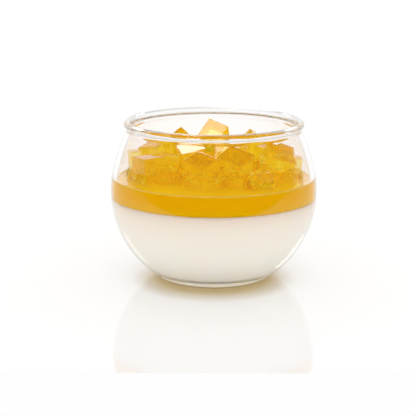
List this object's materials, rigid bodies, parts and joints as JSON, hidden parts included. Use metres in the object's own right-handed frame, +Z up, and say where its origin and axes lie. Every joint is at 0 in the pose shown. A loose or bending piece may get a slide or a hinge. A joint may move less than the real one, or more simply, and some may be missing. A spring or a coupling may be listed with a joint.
{
  "type": "panna cotta in a glass",
  "caption": "Panna cotta in a round clear glass, under a layer of clear orange jelly and a loose heap of orange jelly cubes.",
  "frame": {"origin": "centre of the foot of the glass, on the table", "axes": "+Z up, along the axis of the glass; -Y towards the side where the heap is lowest and longest cubes lie"},
  "size_m": [0.082, 0.082, 0.0625],
  "materials": {
    "clear_glass": "clear, smooth and glossy",
    "set_cream": "smooth, satin, slightly translucent",
    "orange_jelly": "wet and glossy, see-through amber"
  },
  "bodies": {
    "root": {"glass_bowl": "clear_glass", "jelly_cube_back_far_left": "orange_jelly", "jelly_cube_back_far_right": "orange_jelly", "jelly_cube_back_left": "orange_jelly", "jelly_cube_back_middle": "orange_jelly", "jelly_cube_back_right": "orange_jelly", "jelly_cube_back_wall_far_right": "orange_jelly", "jelly_cube_back_wall_left": "orange_jelly", "jelly_cube_back_wall_right": "orange_jelly", "jelly_cube_far_left": "orange_jelly", "jelly_cube_far_right": "orange_jelly", "jelly_cube_front_chip": "orange_jelly", "jelly_cube_front_left": "orange_jelly", "jelly_cube_front_middle": "orange_jelly", "jelly_cube_front_right": "orange_jelly", "jelly_cube_middle_far_left": "orange_jelly", "jelly_cube_middle_far_right": "orange_jelly", "jelly_cube_middle_left": "orange_jelly", "jelly_cube_middle_right": "orange_jelly", "jelly_cube_offcut_back": "orange_jelly", "jelly_cube_offcut_far_left": "orange_jelly", "jelly_cube_offcut_front": "orange_jelly", "jelly_cube_offcut_left": "orange_jelly", "jelly_cube_offcut_middle": "orange_jelly", "jelly_cube_offcut_right": "orange_jelly", "jelly_cube_right": "orange_jelly", "jelly_cube_top_left": "orange_jelly", "jelly_cube_top_middle": "orange_jelly", "jelly_cube_top_right": "orange_jelly", "jelly_layer": "orange_jelly", "panna_cotta": "set_cream"}
  },
  "joints": []
}
